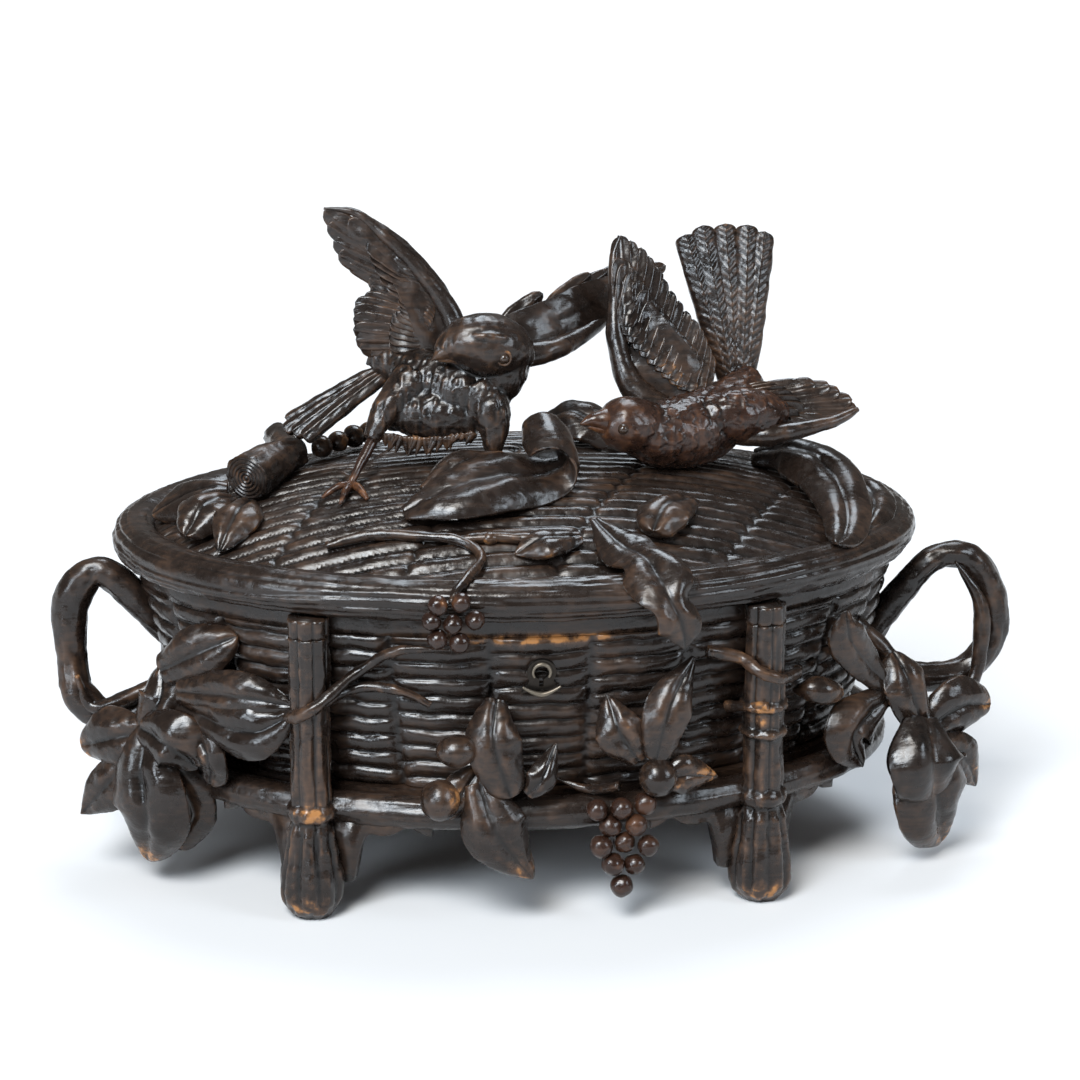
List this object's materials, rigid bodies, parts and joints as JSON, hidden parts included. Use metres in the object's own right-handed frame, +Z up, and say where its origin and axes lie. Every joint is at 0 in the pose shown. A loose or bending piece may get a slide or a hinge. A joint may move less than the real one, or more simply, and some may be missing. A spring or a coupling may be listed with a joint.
{
  "type": "carved wooden casket",
  "caption": "Oval carved wooden casket: wicker-carved basket on reeded legs, branch handles and leaf sprays, and a hinged domed lid carrying two birds with raised wings.",
  "frame": {"origin": "on the table under the middle of the overall length and depth, at the bottom of the feet", "axes": "+X along the casket's length, to the right seen from the front; -Y is the front with the keyhole; +Z up"},
  "size_m": [0.3635, 0.2104, 0.2421],
  "materials": {
    "dark_wood": "dark stained and polished carved wood, glossy on high points",
    "worn_wood": "stained carved wood rubbed back to a warmer brown",
    "brass": "aged brass",
    "iron": "dark iron",
    "eye_bead": "glossy dark bead"
  },
  "bodies": {
    "base": {"basket_wall": "dark_wood", "base_board": "dark_wood", "bottom_rail": "dark_wood", "leg_front_left": "dark_wood", "leg_front_right": "dark_wood", "leg_back_left": "dark_wood", "leg_back_right": "dark_wood", "handle_left": "dark_wood", "handle_right": "dark_wood", "left_end_leaves": "dark_wood", "right_end_leaves": "dark_wood", "front_left_leaves": "dark_wood", "front_right_leaves": "dark_wood", "front_left_stems": "dark_wood", "front_right_stems": "dark_wood", "front_berries": "worn_wood", "keyhole_plate": "iron", "lock_case": "brass", "lock_cap": "brass", "lock_drill_pin": "iron", "lock_screws": "brass", "hinge_base_left": "brass", "hinge_base_right": "brass", "hinge_pin_left": "brass", "hinge_pin_right": "brass", "hinge_base_screws": "brass", "board_screws": "iron"},
    "lid": {"lid_rim": "dark_wood", "lid_post_tops": "dark_wood", "lid_dome": "dark_wood", "hinge_lid_left": "brass", "hinge_lid_right": "brass", "hinge_lid_screws": "brass", "lock_link": "brass", "link_screws": "brass", "left_bird_body": "dark_wood", "left_bird_wing_left": "dark_wood", "left_bird_wing_right": "dark_wood", "left_bird_tail": "dark_wood", "left_bird_legs": "worn_wood", "left_bird_eyes": "eye_bead", "right_bird_body": "worn_wood", "right_bird_wing_up": "dark_wood", "right_bird_wing_side": "dark_wood", "right_bird_tail": "dark_wood", "right_bird_eyes": "eye_bead", "curled_leaf": "dark_wood", "drooping_leaf": "dark_wood", "cupped_leaf": "dark_wood", "front_lid_leaf": "dark_wood", "back_lid_leaf": "dark_wood", "left_lid_leaves": "dark_wood", "right_lid_leaves": "dark_wood", "branch_stub": "dark_wood", "bead_row": "dark_wood", "lid_twig": "dark_wood", "lid_berries": "worn_wood"},
    "bolt": {"lock_bolt": "brass"}
  },
  "joints": [
    {"name": "lid_hinge", "type": "hinge", "parent": "base", "child": "lid", "pos_m": [-0.0075, 0.0999, 0.10615], "axis": [-1, 0, 0], "range_deg": [0, 100]},
    {"name": "bolt_slide", "type": "slide", "parent": "base", "child": "bolt", "axis": [1, 0, 0], "range_m": [0, 0.005]}
  ]
}
